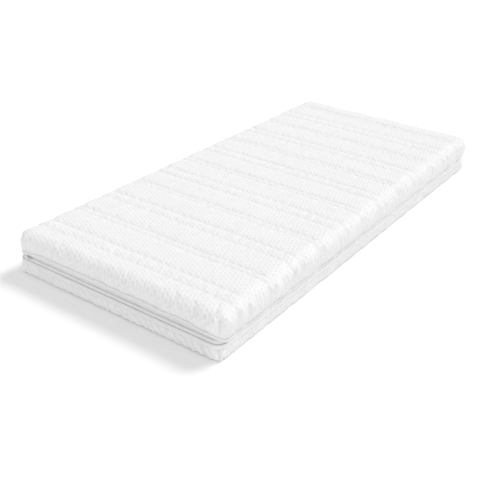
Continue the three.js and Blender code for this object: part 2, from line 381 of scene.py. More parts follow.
def tintNode(nodes, links, share, dark, light, shader):
    ramp = nodes.new("ShaderNodeMapRange")
    ramp.data_type = "FLOAT_VECTOR"
    ramp.inputs[9].default_value, ramp.inputs[10].default_value = dark, light
    combine = nodes.new("ShaderNodeCombineXYZ")
    for k in range(3):
        links.new(share, combine.inputs[k])
    links.new(combine.outputs[0], ramp.inputs[6])
    links.new(ramp.outputs["Vector"], shader.inputs["Base Color"])


# Each cloth: darkest and lightest tint, spacing of its threads across and along, and how far they stand out
cloths = {
    "honeycomb_knit": ((0.88, 0.88, 0.88), (0.965, 0.965, 0.964), (0.0013, 0.0011), 0.00022),
    "hem_knit": ((0.87, 0.87, 0.87), (0.955, 0.955, 0.954), (0.0012, 0.0008), 0.0002),
    "zip_tape_weave": ((0.89, 0.89, 0.89), (0.965, 0.965, 0.963), (0.0009, 0.0009), 0.00025),
    "backing_cloth": ((0.72, 0.72, 0.70), (0.88, 0.88, 0.86), (0.0010, 0.0010), 0.00015),
    "liner_stretch_knit": ((0.74, 0.735, 0.72), (0.90, 0.895, 0.88), (0.0008, 0.0007), 0.00015),
    "zip_coil_nylon": ((0.84, 0.84, 0.835), (0.93, 0.93, 0.925), (0.0006, 0.0006), 0.00005),
    "sewing_thread": ((0.86, 0.86, 0.86), (0.96, 0.96, 0.958), (0.0004, 0.0003), 0.00008),
}

# What all the cloths share
clothLook = {
    "wearSize": 0.05,           # large faint patches
    "wearShare": 0.6,
    "grainSize": 0.0016,        # single fibres
    "grainShare": 0.5,
    "grainRelief": 0.8,
    "threadRelief": 0.6,
    "dimpleRelief": 0.5,
    "dimpleDepth": 0.0004,
    # painted shade: how much darker the hollow of each dimple is painted
    "paintedDimpleShade": -0.05,
    "sheenRoughness": 0.5,
    "specular": 0.25,
}

# Each foam: darkest and lightest tint, size of a cell
foams = {
    "memory_foam_cells": ((0.80, 0.74, 0.58), (0.92, 0.87, 0.72), 0.0012),
    "support_foam_cells": ((0.70, 0.74, 0.78), (0.86, 0.89, 0.92), 0.0018),
}

# Each metal: darkest and lightest tint, roughness
metals = {
    "slider_nickel": ((0.50, 0.51, 0.53), (0.68, 0.69, 0.71), 0.28),
    "pull_tab_nickel": ((0.48, 0.49, 0.51), (0.66, 0.67, 0.69), 0.30),
}


def clothMaterial(name, rough=0.85, sheen=0.25, dimpled=False, onUv=True):
    dark, light, loops, loopDepth = cloths[name]
    material, nodes, links, shader = nodeTree(name)
    place = nodes.new("ShaderNodeTexCoord").outputs["Object"]
    vector = place
    if onUv:
        uvNode = nodes.new("ShaderNodeUVMap")
        uvNode.uv_map = "cloth"
        vector = uvNode.outputs["UV"]
    threadA = waveAlong(nodes, links, vector, (1 / loops[0], 0.5 / loops[1], 0))
    threadB = waveAlong(nodes, links, vector, (-1 / loops[0], 0.5 / loops[1], 0))
    threads = mathNode(nodes, links, "ADD", threadA, threadB)
    wear = mathNode(nodes, links, "MULTIPLY", noiseNode(nodes, links, place, clothLook["wearSize"]),
                    clothLook["wearShare"])
    grain = noiseNode(nodes, links, place, clothLook["grainSize"], 2.0)
    share = mathNode(nodes, links, "MULTIPLY_ADD", grain, clothLook["grainShare"], wear)
    relief = mathNode(nodes, links, "MULTIPLY_ADD", grain, clothLook["grainRelief"], threads)
    normal = bumpNode(nodes, links, relief, loopDepth, clothLook["threadRelief"])
    if dimpled:
        total = None
        for across, along, weight in dimples["waves"]:
            wave = waveAlong(nodes, links, vector, (across, along, 0))
            wave = mathNode(nodes, links, "MULTIPLY", wave, weight)
            total = wave if total is None else mathNode(nodes, links, "ADD", total, wave)
        hollows = mathNode(nodes, links, "MULTIPLY", total, -1.0)
        normal = bumpNode(nodes, links, hollows, clothLook["dimpleDepth"], clothLook["dimpleRelief"], normal)
        # painted shade: the middle of each dimple, a hollow in the knit, is painted darker
        share = mathNode(nodes, links, "MULTIPLY_ADD", total, clothLook["paintedDimpleShade"], share)
    links.new(normal, shader.inputs["Normal"])
    shader.inputs["Roughness"].default_value = rough
    shader.inputs["Sheen Weight"].default_value = sheen
    shader.inputs["Sheen Roughness"].default_value = clothLook["sheenRoughness"]
    shader.inputs["Specular IOR Level"].default_value = clothLook["specular"]
    tintNode(nodes, links, share, dark, light, shader)
    return material


def foamMaterial(name):
    # many small pores in a matt body, each pore's hollow with painted shade
    dark, light, cell = foams[name]
    material, nodes, links, shader = nodeTree(name)
    place = nodes.new("ShaderNodeTexCoord").outputs["Object"]
    pores = nodes.new("ShaderNodeTexVoronoi")
    pores.inputs["Scale"].default_value = 1 / cell
    links.new(place, pores.inputs["Vector"])
    patches = mathNode(nodes, links, "MULTIPLY", noiseNode(nodes, links, place, 0.08), 0.5)
    # painted shade in the pores: the deeper into a pore, the darker, over patches of tone that differ at
    # random
    share = mathNode(nodes, links, "MULTIPLY_ADD", pores.outputs["Distance"], 0.6, patches)
    links.new(bumpNode(nodes, links, pores.outputs["Distance"], cell * 0.3, 0.7), shader.inputs["Normal"])
    shader.inputs["Roughness"].default_value = 0.95
    shader.inputs["Specular IOR Level"].default_value = 0.2
    tintNode(nodes, links, share, dark, light, shader)
    return material


def metalMaterial(name):
    dark, light, rough = metals[name]
    material, nodes, links, shader = nodeTree(name)
    place = nodes.new("ShaderNodeTexCoord").outputs["Object"]
    scuffs = noiseNode(nodes, links, place, 0.002, 5.0)
    roughness = mathNode(nodes, links, "MULTIPLY_ADD", scuffs, 0.25, rough)
    links.new(roughness, shader.inputs["Roughness"])
    links.new(bumpNode(nodes, links, scuffs, 0.0001, 0.3), shader.inputs["Normal"])
    shader.inputs["Metallic"].default_value = 1.0
    tintNode(nodes, links, scuffs, dark, light, shader)
    return material


knit = clothMaterial("honeycomb_knit", dimpled=True)
hemCloth = clothMaterial("hem_knit")
tapeCloth = clothMaterial("zip_tape_weave")
backingCloth = clothMaterial("backing_cloth")
linerCloth = clothMaterial("liner_stretch_knit", onUv=False)
coilPlastic = clothMaterial("zip_coil_nylon", rough=0.4, sheen=0.0, onUv=False)
thread = clothMaterial("sewing_thread", rough=0.7, sheen=0.4, onUv=False)
viscoFoam = foamMaterial("memory_foam_cells")
coldFoam = foamMaterial("support_foam_cells")
sliderMetal = metalMaterial("slider_nickel")
tabMetal = metalMaterial("pull_tab_nickel")

print("materials made")

cells = [shape[n] for n in ("cellsAcross", "cellsAlong", "cellsCorner")]
coarse = makeColumns(*cells)
fine = makeColumns(*(shape["finer"] * n for n in cells))

# The zip and the upper hem, which hangs over it along the long sides
zipLine = {
    "zipHeight": 0.072,
    "hemReach": 0.019,          # the hem's lower edge above the zip on the short sides
    "flapDrop": 0.033,          # how much lower it is on the long sides
    "cornerDropShare": 0.3,     # how much of that drop the corner has next to a short side
    "hemFade": 0.100,           # the length over which the rest fades out
    "upperHemHeight": 0.0092,
    "upperHemDepth": 0.0040,
    "upperHemProud": 0.0009,
    "hemWave": 0.0014,
    "hemWaveLength": 0.09,
    "flapSteadiness": 0.65,     # how much less the hem waves on the long sides
    "flapLift": 0.0005,         # keeps it clear of the lower hem there
}


def hemDrop(columns):
    # how far the upper hem hangs down: 1 on the long sides, 0 along the short ones
    straight = np.abs(columns.sx) * (halfWidth - shape["cornerRadius"])
    corner = 1 - (1 - zipLine["cornerDropShare"]) * columns.endShare ** 0.75
    reach = halfWidth - shape["cornerRadius"] - zipLine["hemFade"]
    fade = zipLine["cornerDropShare"] * smooth(reach, reach + zipLine["hemFade"], straight)
    onShort = (columns.turn % math.pi == rightAngle) & (np.abs(columns.sx) < 1)
    return np.where(onShort, fade, corner)


def upperHemLow(columns):
    angle = columns.run / columns.total * tau
    wave = zipLine["hemWave"] * ripple(np.cos(angle) * 0.9, np.sin(angle) * 0.9, zipLine["hemWaveLength"], 5)
    drop = hemDrop(columns)
    wave = wave * (1 - zipLine["flapSteadiness"] * drop) + zipLine["flapLift"] * drop
    return zipLine["zipHeight"] + zipLine["hemReach"] - zipLine["flapDrop"] * drop + wave


# Upper cover: quilted knit over the wadding
upperCover = {
    "flatRows": 7,              # rows of simulated cloth from the flat face's edge to the top of the side
    "sideRows": 6,
    "crown": 0.0025,            # how far the middle of the top rises
    "bulge": 0.0028,            # how far the side swells out
    "tuck": 0.0042,             # how far it draws back in to the hem
    "grooveUnevenness": 0.22,
    "sideGroove": 3.2,          # quilting grooves are this much deeper down the long sides
    "ribDepth": 0.0036,         # gathers down the long sides
    "ribsPerMetre": 51.0,
    "ribLean": 9.0,
    "tug": 0.0024,              # where a stitch line pulls on the hem
    "tugWidth": 0.010,
    "seamPinch": 0.0080,        # how far a corner seam draws in
    "seamWidth": 0.0038,
    "seamHollow": 0.30,         # share of that for the wide hollow round it
    "seamHollowWidth": 0.014,
    "seamTop": 0.144,
    "seamDimple": 0.0035,       # the dent where the corner seam ends
    "wallInset": 0.0089,
    "flapInset": 0.0044,
    "wallLow": 0.0985,
    "deepest": 0.0078,          # no crease goes deeper, so the outside never reaches the inner wall
    "flapDeepest": 0.0032,
}


def upperProfile(columns, share, rows):
    # inset, height, corner radius and distance along the cloth at a row, counted from the flat face outwards
    edge, radius = shape["topEdge"], shape["cornerRadius"]
    flat, arc = radius - edge, edge * rightAngle
    sideTop = topHeight - edge
    if share <= rows[0]:
        along = (flat + arc) * share / rows[0]
        angle = max(along - flat, 0) / edge
        inset = radius - along if along < flat else edge - edge * math.sin(angle)
        return inset, sideTop + edge * math.cos(angle), radius, np.full(columns.count, along)
    hemTop = upperHemLow(columns) + zipLine["upperHemHeight"]
    share = (share - rows[0]) / rows[1]
    return 0.0, sideTop + (hemTop - sideTop) * share, radius, flat + arc + (sideTop - hemTop) * share


def outerSkin(columns, rows, profile, cap, radius, down=False):
    # the outside of a cover half: its flat face as a grid, then rows round the outline
    # radius is the corner radius of the cloth laid flat
    points = [gridPoints(columns, *cap)]
    edge, faces = gridFaces(0, columns, down)
    quads, uv = [faces], [points[0][faces][:, :, :2]]
    start = len(points[0])
    cloth, out, column = [points[0][:, :2]], [np.zeros(start)], [np.full(start, -1)]
    rowIds, lastAlong = [edge], np.zeros(columns.count)
    at, order = np.arange(columns.count), slice(None, None, -1 if down else 1)
    for t in range(1, sum(rows) + 1):
        inset, height, corner, along = profile(columns, t, rows)
        points.append(outlineRow(columns, inset, height, corner))
        rowIds.append(start + at)
        quads.append(ringFaces(*rowIds[-2:])[:, order])
        uv.append(ringUv(columns, lastAlong, along, radius)[:, order])
        cloth.append(fabricPoint(columns, at, sideOf(columns, at), along, radius))
        out.append(along)
        column.append(at)
        lastAlong = along
        start += columns.count
    joined = {"points": points, "quads": quads, "uv": uv, "cloth": cloth, "out": out, "column": column}
    joined = {name: np.concatenate(parts) for name, parts in joined.items()}
    return SimpleNamespace(rowIds=rowIds, gridCount=len(points[0]), **joined)


def spreadOut(values, times, axis, wraps=False):
    # puts evenly changing values between each two along an axis
    values = np.moveaxis(values, axis, 0)
    here, after = (values, np.roll(values, -1, 0)) if wraps else (values[:-1], values[1:])
    mixed = np.stack([here + (after - here) * k / times for k in range(times)], 1)
    mixed = mixed.reshape(-1, *values.shape[1:])
    return np.moveaxis(mixed if wraps else np.concatenate([mixed, values[-1:]]), 0, axis)


def upsample(skin, fineSkin, columns, values, times):
    # takes a value from the simulated cloth to the finer skin
    grid = values[:skin.gridCount].reshape(columns.across + 1, columns.along + 1, 3)
    full = spreadOut(spreadOut(grid, times, 0), times, 1)
    ring = np.stack([values[ids] for ids in skin.rowIds])
    around = spreadOut(spreadOut(ring, times, 0), times, 1, wraps=True)
    return relax(np.concatenate([full.reshape(-1, 3), around[1:].reshape(-1, 3)]), fineSkin.quads, 5)


def columnValue(skin, values, other):
    # a value given for each column, spread to the skin's points; other is for the flat face
    return np.where(skin.column < 0, other, values[np.maximum(skin.column, 0)])


def raiseSkin(skin, columns, moved, relief):
    # shaped is the skin after the cloth has moved and the relief is on it
    skin.columns = columns
    skin.normals = vertexNormals(skin.points, skin.quads)
    skin.shaped = skin.points + moved + skin.normals * relief(skin, columns)[:, None]


def seamDistance(skin, columns):
    # which points are on a rounded corner, and how far each is from that corner's seam
    onCorner = columnValue(skin, columns.atCorner, False) & (skin.column >= 0)
    distance = columnValue(skin, columns.fromSeam * shape["cornerRadius"], 1.0)
    return onCorner, np.where(onCorner, distance, 0.08)


def bell(distance, width):
    return np.exp(-(distance / width) ** 2)


def upperRelief(skin, columns):
    # how far each point stands out from the plain rounded shape, along its normal
    piece = upperCover
    x, y = skin.cloth[:, 0], skin.cloth[:, 1]
    heights = skin.points[:, 2]
    endShare = columnValue(skin, columns.endShare, 0.0)
    sideStart = shape["cornerRadius"] - shape["topEdge"] + shape["topEdge"] * rightAngle
    hemTop = columnValue(skin, upperHemLow(columns) + zipLine["upperHemHeight"], 0.0)
    sideLength = np.maximum(topHeight - shape["topEdge"] - hemTop, 0.01)
    down = np.clip((skin.out - sideStart) / sideLength, 0, 1)
    onSide = smooth(0.02, 0.055, skin.out)
    longSide = onSide * (1 - endShare)
    onCorner, fromSeam = seamDistance(skin, columns)

    acrossShare = np.clip(np.abs(skin.points[:, 0]) / (halfWidth - shape["cornerRadius"]), 0, 1)
    alongShare = np.clip(np.abs(skin.points[:, 1]) / (halfLength - shape["cornerRadius"]), 0, 1)
    crown = piece["crown"] * (1 - acrossShare ** 2.5) * (1 - alongShare ** 4)
    swell = np.sin(math.pi * np.clip((skin.out - 0.018) / (sideStart - 0.018 + sideLength), 0, 1)) ** 0.8
    bulge = piece["bulge"] * swell - piece["tuck"] * smooth(0.45, 1.0, down)

    distance = quiltDistance(x, y, 11)
    uneven = 1 + piece["grooveUnevenness"] * ripple(x, y, 0.07, 12)
    quilted = -quiltGroove(distance) * uneven * (1 + (piece["sideGroove"] - 1) * longSide)

    held = smooth(0.002, 0.012, distance)                # the stitches hold the dimples flat
    nearSeam = smooth(0.004, 0.018, fromSeam)
    nearHem = 1 - smooth(0.80, 1.0, down) * 0.8
    flatter = 1 - 0.8 * longSide
    knitDimples = -dimples["depth"] * dimpleHeight(x, y) * (0.35 + 0.65 * held) * nearSeam * nearHem * flatter
    knitDimples = knitDimples * (dimples["topShare"] + (1 - dimples["topShare"]) * onSide)

    lean = piece["ribLean"] * (skin.out - sideStart)
    gathers = pleat(piece["ribsPerMetre"] * y + lean + 0.25 * ripple(x, y, 0.12, 14))
    gathers = piece["ribDepth"] * gathers * longSide * (0.90 + 0.25 * ripple(x, y, 0.10, 13)) * nearSeam
    tug = -piece["tug"] * longSide * smooth(0.2, 1.0, down) * bell(distance, piece["tugWidth"])

    seamHere = smooth(piece["seamTop"] + 0.003, piece["seamTop"] - 0.006, heights)
    seamHere = np.where(onCorner, seamHere, 0)
    pinch = np.exp(-(fromSeam / piece["seamWidth"]) ** 1.3)
    pinch = pinch + piece["seamHollow"] * bell(fromSeam, piece["seamHollowWidth"])
    dent = bell(heights - piece["seamTop"], 0.007) * bell(fromSeam, 0.009)
    pulled = bell(fromSeam - 0.012, 0.007) * (endShare < 0.5) * seamHere
    pinch = -piece["seamPinch"] * seamHere * pinch - piece["seamDimple"] * (dent + 0.9 * pulled)

    total = crown + bulge + quilted + knitDimples + gathers + tug + pinch
    deepest = np.where(heights < piece["wallLow"] + 0.004, piece["flapDeepest"], 1.0)
    sloping = np.minimum(deepest, piece["flapDeepest"] + 0.0045 * (1 - down))
    return np.maximum(total, -np.where(down > 0, sloping, piece["deepest"]))


def upperWall(columns, first):
    # the inner wall: behind the wadding on top and above the zip, behind the flap below it
    wall, flap, radius = upperCover["wallInset"], upperCover["flapInset"], shape["cornerRadius"]
    hemTop = upperHemLow(columns) + zipLine["upperHemHeight"]
    step = np.maximum(upperCover["wallLow"], hemTop + 0.0015)
    rows = [outlineRow(columns, flap, hemTop, radius), outlineRow(columns, flap, step, radius)]
    rows += wallRows(columns, wall, step)
    ids = [first + k * columns.count + np.arange(columns.count) for k in range(len(rows))]
    edgeIds, faces = gridFaces(first + len(rows) * columns.count, columns, down=True)
    quads = [ringFaces(above, below) for above, below in zip(ids, ids[1:] + [edgeIds])]
    points = rows + [gridPoints(columns, radius, topHeight - wall)]
    return np.concatenate(points), np.concatenate(quads + [faces]), ids[0]


def wallUv(points, quads):
    # a plain lay-flat for inner walls: across and along, with the height let out sideways
    flat = points[:, :2] + np.sign(points[:, :2]) * (points[:, 2:3] - 0.08) * 0.5
    return flat[quads]


upperRows = (upperCover["flatRows"], upperCover["sideRows"])
upperCap = (shape["cornerRadius"], topHeight)
upperCoarse = outerSkin(coarse, upperRows, upperProfile, upperCap, shape["cornerRadius"])
finerRows = [shape["finer"] * n for n in upperRows]
upperFine = outerSkin(fine, finerRows, upperProfile, upperCap, shape["cornerRadius"])
rowPitch = 2 * (halfLength - shape["cornerRadius"]) / shape["cellsAlong"]
heldPoints = lineDistance(upperCoarse.cloth[:, 1]) < rowPitch * 0.55
heldPoints[upperCoarse.rowIds[-1]] = True
onSeam = columnValue(upperCoarse, coarse.fromSeam < 1e-6, False) & (upperCoarse.column >= 0)
heldPoints |= onSeam & (upperCoarse.points[:, 2] < upperCover["seamTop"])
puff = puffUp("upper_cloth", upperCoarse.points, upperCoarse.quads, heldPoints)
raiseSkin(upperFine, fine, upsample(upperCoarse, upperFine, coarse, puff, shape["finer"]), upperRelief)
wallPoints, wallQuads, rimIds = upperWall(coarse, len(upperFine.points))
rim = rimFaces(upperFine.rowIds[-1], rimIds)
allPoints = np.concatenate([upperFine.shaped, wallPoints])
upperQuads = np.concatenate([upperFine.quads, rim, wallQuads])
upperUv = np.concatenate([upperFine.uv, wallUv(allPoints, rim), wallUv(allPoints, wallQuads)])
quiltedTop = newPiece("quilted_top_cover", allPoints, upperQuads, upperUv, knit)
finishPadded(quiltedTop, "cover_top", ["top_cover_fabric", "top_cover_wadding"])
print("upper cover made,", len(upperQuads), "faces")

# Lower cover: the same knit, on the underside and up to the zip
lowerCover = {
    "finer": 2,                 # columns in each column of the simulated cloth
    "edgeRows": 9,
    "sideRows": 12,
    "fabricTop": 0.0417,
    "wallInset": 0.0089,
    "swell": 0.0016,
    "slantDepth": 0.0042,       # slanting pleats along the short sides
    "slantAcross": 31.0,        # pleats per metre, sideways and downwards
    "slantDown": 34.0,
    "ridge": 0.0018,            # a ridge along the short sides and the hollow above it
    "ridgeHeight": 0.027,
    "hollow": 0.0016,
    "hollowHeight": 0.036,
    "ribDepth": 0.0038,         # gathers along the long sides
    "ribLean": -14.0,
    "tuck": 0.0026,             # how far the side draws back in under the hem
    "seamPinch": 0.0062,
    "seamWidth": 0.0042,
    "underside": 0.0012,        # its dimples only go inwards, off the floor
    "deepest": 0.0078,
}


def cornerAt(height):
    base, full = shape["baseCornerRadius"], shape["cornerRadius"]
    return base + (full - base) * min(max(height / lowerCover["fabricTop"], 0), 1)


def lowerProfile(columns, share, rows):
    edge, radius = shape["bottomEdge"], shape["baseCornerRadius"]
    flat, arc = radius - edge, edge * rightAngle
    if share <= rows[0]:
        along = (flat + arc) * share / rows[0]
        angle = max(along - flat, 0) / edge
        inset = radius - along if along < flat else edge - edge * math.sin(angle)
        height = edge - edge * math.cos(angle)
        return inset, height, max(cornerAt(height), inset), np.full(columns.count, along)
    height = edge + (lowerCover["fabricTop"] - edge) * (share - rows[0]) / rows[1]
    return 0.0, height, cornerAt(height), np.full(columns.count, flat + arc + height - edge)


def lowerRelief(skin, columns):
    piece = lowerCover
    x, y = skin.cloth[:, 0], skin.cloth[:, 1]
    heights = skin.points[:, 2]
    endShare = columnValue(skin, columns.endShare, 0.0)
    fromSeam = seamDistance(skin, columns)[1]
    onSide = smooth(0.012, 0.026, skin.out)
    longSide, shortSide = onSide * (1 - endShare), onSide * endShare
    nearTop = smooth(piece["fabricTop"] - 0.006, piece["fabricTop"], heights) * (skin.column >= 0)
    nearSeam = smooth(0.003, 0.014, fromSeam)
    flatter = 1 - 0.7 * nearTop

    quilted = quiltGroove(quiltDistance(x, y, 21)) * (1 - endShare * onSide)
    knitDimples = dimples["depth"] * dimpleHeight(x, y) * (1 - 0.6 * onSide)
    swell = piece["swell"] * np.sin(math.pi * np.clip((heights - 0.004) / 0.038, 0, 1)) * onSide
    slant = piece["slantAcross"] * skin.points[:, 0] + piece["slantDown"] * heights
    slant = pleat(slant + 0.22 * ripple(x, y, 0.10, 22))
    slant = piece["slantDepth"] * slant * shortSide * (0.95 + 0.15 * ripple(x, y, 0.08, 23))
    ridge = piece["ridge"] * bell(heights - piece["ridgeHeight"], 0.0045)
    ridge = shortSide * (ridge - piece["hollow"] * bell(heights - piece["hollowHeight"], 0.0035))
    gathers = upperCover["ribsPerMetre"] * y + piece["ribLean"] * heights
    gathers = pleat(gathers + 0.28 * ripple(x, y, 0.11, 24))
    gathers = piece["ribDepth"] * gathers * longSide * (0.95 + 0.25 * ripple(x, y, 0.09, 25))
    pinch = piece["seamPinch"] * bell(fromSeam, piece["seamWidth"]) * smooth(0.004, 0.012, heights)
    side = swell + (slant + ridge + gathers) * flatter * nearSeam - piece["tuck"] * nearTop
    under = -piece["underside"] * (1 - onSide)
    total = side + under + knitDimples * nearSeam * flatter - quilted - pinch
    total = np.maximum(total, -piece["deepest"])
    return np.where(heights < 0.0005, np.minimum(total, 0), total)


def bandBody(columns, rows, top=None, bottom=None):
    # joins rows round the outline; without a flat face at either end the last row meets the first
    points, quads, uv, ids, first, climb = [], [], [], [], 0, 0.0
    if top is not None:
        points.append(gridPoints(columns, *top))
        edge, faces = gridFaces(0, columns)
        quads.append(faces)
        uv.append(points[0][faces][:, :, :2])
        ids.append(edge)
        first = len(points[0])
    for row in rows:
        points.append(row)
        ids.append(first + np.arange(columns.count))
        first += columns.count
    if bottom is not None:
        points.append(gridPoints(columns, *bottom))
        edge, faces = gridFaces(first, columns, down=True)
        ids.append(edge)
        quads.append(faces)
        uv.append(np.concatenate(points)[faces][:, :, :2])
    allPoints = np.concatenate(points)
    pairs = list(zip(ids[:-1], ids[1:])) + ([(ids[-1], ids[0])] if top is None and bottom is None else [])
    run, after = columns.run, np.append(columns.run[1:], columns.total)
    for rowA, rowB in pairs:
        step = np.linalg.norm(allPoints[rowB[0]] - allPoints[rowA[0]])
        quads.append(ringFaces(rowA, rowB))
        corners = ((run, climb), (run, climb + step), (after, climb + step), (after, climb))
        uv.append(np.stack([np.stack([u, np.full(columns.count, v)], -1) for u, v in corners], 1))
        climb += step
    return allPoints, np.concatenate(quads), np.concatenate(uv)


baseColumns = makeColumns(*(lowerCover["finer"] * n for n in cells))
lowerRows = (lowerCover["edgeRows"], lowerCover["sideRows"])
lowerCap = (shape["baseCornerRadius"], 0.0)
lowerFine = outerSkin(baseColumns, lowerRows, lowerProfile, lowerCap, shape["baseCornerRadius"], down=True)
raiseSkin(lowerFine, baseColumns, 0.0, lowerRelief)
lowerFine.shaped[:, 2] = np.maximum(lowerFine.shaped[:, 2], 0.0)


def lowWallRows(columns, inset, steps, *above):
    # rows of the lower cover's wall from its floor up, at even steps to the knit's edge
    heights = [*np.linspace(inset, lowerCover["fabricTop"], steps + 1), *above]
    return [outlineRow(columns, inset, h, cornerAt(h)) for h in heights]


wallInset = lowerCover["wallInset"]
lowerWall = lowWallRows(coarse, wallInset, 3)
innerPoints, innerQuads, innerUv = bandBody(coarse, lowerWall, top=(cornerAt(wallInset), wallInset))
first = len(lowerFine.points)
rimRow = first + len(innerPoints) - coarse.count + np.arange(coarse.count)
lowerRim = rimFaces(lowerFine.rowIds[-1], rimRow)[:, ::-1]
allPoints = np.concatenate([lowerFine.shaped, innerPoints])
lowerQuads = np.concatenate([lowerFine.quads, lowerRim, innerQuads + first])
lowerUv = np.concatenate([lowerFine.uv, wallUv(allPoints, lowerRim), innerUv])
quiltedBase = newPiece("quilted_bottom_cover", allPoints, lowerQuads, lowerUv, knit)
finishPadded(quiltedBase, "cover_bottom", ["bottom_cover_fabric", "bottom_cover_wadding"])
print("lower cover made,", len(lowerQuads), "faces")

# Backing cloth inside each half
backing = {
    "outer": 0.0092,            # how far in its two faces lie
    "inner": 0.0100,
    "upperLow": 0.0923,         # lower edge of the upper half's backing
    "lowerTop": 0.0517,         # upper edge of the lower half's
    "roundEdge": 0.04,          # cloth that the rounded edges save
}


insets = (backing["outer"], backing["inner"])
caps = [(shape["cornerRadius"], topHeight - inset) for inset in insets]
outerWall, innerWall = (wallRows(coarse, inset, backing["upperLow"]) for inset in insets)
topBody = bandBody(coarse, outerWall[::-1] + innerWall, top=caps[0], bottom=caps[1])
topBacking = newPiece("top_cover_backing_cloth", *topBody, backingCloth)
finishSheet(topBacking, "cover_top", "top_cover_backing")

caps = [(cornerAt(inset), inset) for inset in insets]
outerWall, innerWall = (lowWallRows(coarse, inset, 2, backing["lowerTop"]) for inset in insets)
baseBody = bandBody(coarse, innerWall + outerWall[::-1], top=caps[1], bottom=caps[0])
baseBacking = newPiece("bottom_cover_backing_cloth", *baseBody, backingCloth)
finishSheet(baseBacking, "cover_bottom", "bottom_cover_backing")

# Hems: soft squarish rolls
hems = {
    "sections": 14,             # points round a hem's section
    "squareness": 0.55,
    "upperOverlap": 0.0006,     # how far the upper hem reaches up over the knit
    "upperWave": 0.0007,
    "lowerLow": 0.0417,
    "lowerHeight": 0.0157,
    "lowerDepth": 0.0072,
    "lowerWave": 0.0006,
    "lowerProud": 0.0028,
}


def squarish(part):
    return math.copysign(abs(part) ** hems["squareness"], part)


def hemRows(low, height, proud, depth, wave, seed):
    # rows round the hem's section, starting at the front; proud is how far it stands out
    angle = fine.run / fine.total * tau
    u, v, rows = np.cos(angle) * 0.92, np.sin(angle) * 0.92, []
    wavy = ripple(u, v, 0.03, seed) + 0.7 * ripple(u, v, 0.011, seed + 1)
    for k in range(hems["sections"]):
        turn = -tau * k / hems["sections"]
        outward, upward = squarish(math.cos(turn)), squarish(math.sin(turn))
        inset = (depth + proud) / 2 * (1 - outward) - proud - wave * max(outward, 0) * wavy
        rows.append(outlineRow(fine, inset, low + height / 2 * (1 + upward), shape["cornerRadius"]))
    return rows


upperHemRows = hemRows(upperHemLow(fine), zipLine["upperHemHeight"] + hems["upperOverlap"],
                       zipLine["upperHemProud"], zipLine["upperHemDepth"], hems["upperWave"], 31)
upperHem = newPiece("upper_rolled_hem", *bandBody(fine, upperHemRows), hemCloth)
finishPadded(upperHem, "cover_top", ["upper_hem"])
lowerHemRows = hemRows(hems["lowerLow"], hems["lowerHeight"], hems["lowerProud"],
                       hems["lowerDepth"], hems["lowerWave"], 33)
lowerHem = newPiece("lower_smooth_hem", *bandBody(fine, lowerHemRows), hemCloth)
finishPadded(lowerHem, "cover_bottom", ["lower_hem"])
print("hems made")

# Zip tapes
tapes = {
    "inset": 0.0078,
    "thickness": 0.0008,
    "rows": 9,
    "swell": 0.0030,            # how far a tape bellies out between coil and hem
    "openSwell": 0.0040,        # and further where no flap hangs over it
    "flatNearCoil": 0.0045,
    "swellWidth": 0.008,
    "upper": (0.0728, 0.0920),  # lower and upper edge
    "lower": (0.0575, 0.0712),
}


def tapeRows(columns, low, high):
    heights = np.linspace(high, low, tapes["rows"])
    fromZip = np.abs(heights - zipLine["zipHeight"])
    shares = np.clip((fromZip - tapes["flatNearCoil"]) / tapes["swellWidth"], 0, 1)
    openSwell = tapes["openSwell"] * (1 - hemDrop(columns)) ** 3
    swells = [tapes["swell"] * math.sin(t * rightAngle) + openSwell * math.sin(t * math.pi) for t in shares]
    front = [(tapes["inset"] - swell, height) for swell, height in zip(swells, heights)]
    back = [(inset + tapes["thickness"], height) for inset, height in front[::-1]]
    return [outlineRow(columns, inset, h, shape["cornerRadius"]) for inset, h in front + back]


halves = (("upper", "cover_top"), ("lower", "cover_bottom"))
for (half, body), hem in zip(halves, ("upper_rolled_hem", "lower_smooth_hem")):
    low, high = tapes[half]
    tape = newPiece(half + "_zip_tape", *bandBody(coarse, tapeRows(coarse, low, high)), tapeCloth)
    finishSheet(tape, body, "zip_tape_" + half)
print("zip tapes made")

# Liner and foam
core = {
    "cells": (52, 122, 6),
    "linerInset": 0.0105,
    "linerThickness": 0.0008,
    "linerEnd": 0.036,          # the liner's end panel starts this far before the far end
    "linerGap": 0.0003,
    "foamInset": 0.0117,
    "split": 0.1083,            # where the two foams meet
    "foamGap": 0.0003,
    "seamCloth": 0.04,          # cloth in the end panel's seams
    "hemCloth": 0.07,           # cloth over the liner's closed end
}
blockColumns = makeColumns(*core["cells"])


def block(name, inset, low, high, material):
    # a block with even corners, so that it lifts out; without a high it has the mattress's rounded top
    radius = shape["cornerRadius"]
    if high is None:
        rows, high = wallRows(blockColumns, inset, low)[::-1], topHeight - inset
    else:
        rows = [outlineRow(blockColumns, inset, h, radius) for h in (high, low)]
    return newPiece(name, *bandBody(blockColumns, rows, top=(radius, high), bottom=(radius, low)), material)


memoryFoam = block("memory_foam_slab", core["foamInset"], core["split"] + core["foamGap"], None, viscoFoam)
supportFoam = block("support_foam_block", core["foamInset"], core["foamInset"], core["split"], coldFoam)
finishPadded(memoryFoam, "core", ["memory_foam_layer"])
finishPadded(supportFoam, "core", ["support_foam_core"])

cut = halfLength - core["linerInset"] - core["linerEnd"]


def linerPart(name, keepNear, place):
    # the liner's sock or its end panel: the block's skin cut across, then given its thickness inwards
    piece = block(name, core["linerInset"], core["linerInset"], None, linerCloth)
    soft = bmesh.new()
    soft.from_mesh(piece.data)
    everything = soft.verts[:] + soft.edges[:] + soft.faces[:]
    bmesh.ops.bisect_plane(soft, geom=everything, dist=1e-7, plane_co=(0, place, 0), plane_no=(0, 1, 0),
                           clear_outer=keepNear, clear_inner=not keepNear)
    soft.to_mesh(piece.data)
    soft.free()
    thick = piece.modifiers.new("thickness", "SOLIDIFY")
    thick.thickness = core["linerThickness"]
    thick.offset = -1
    return piece


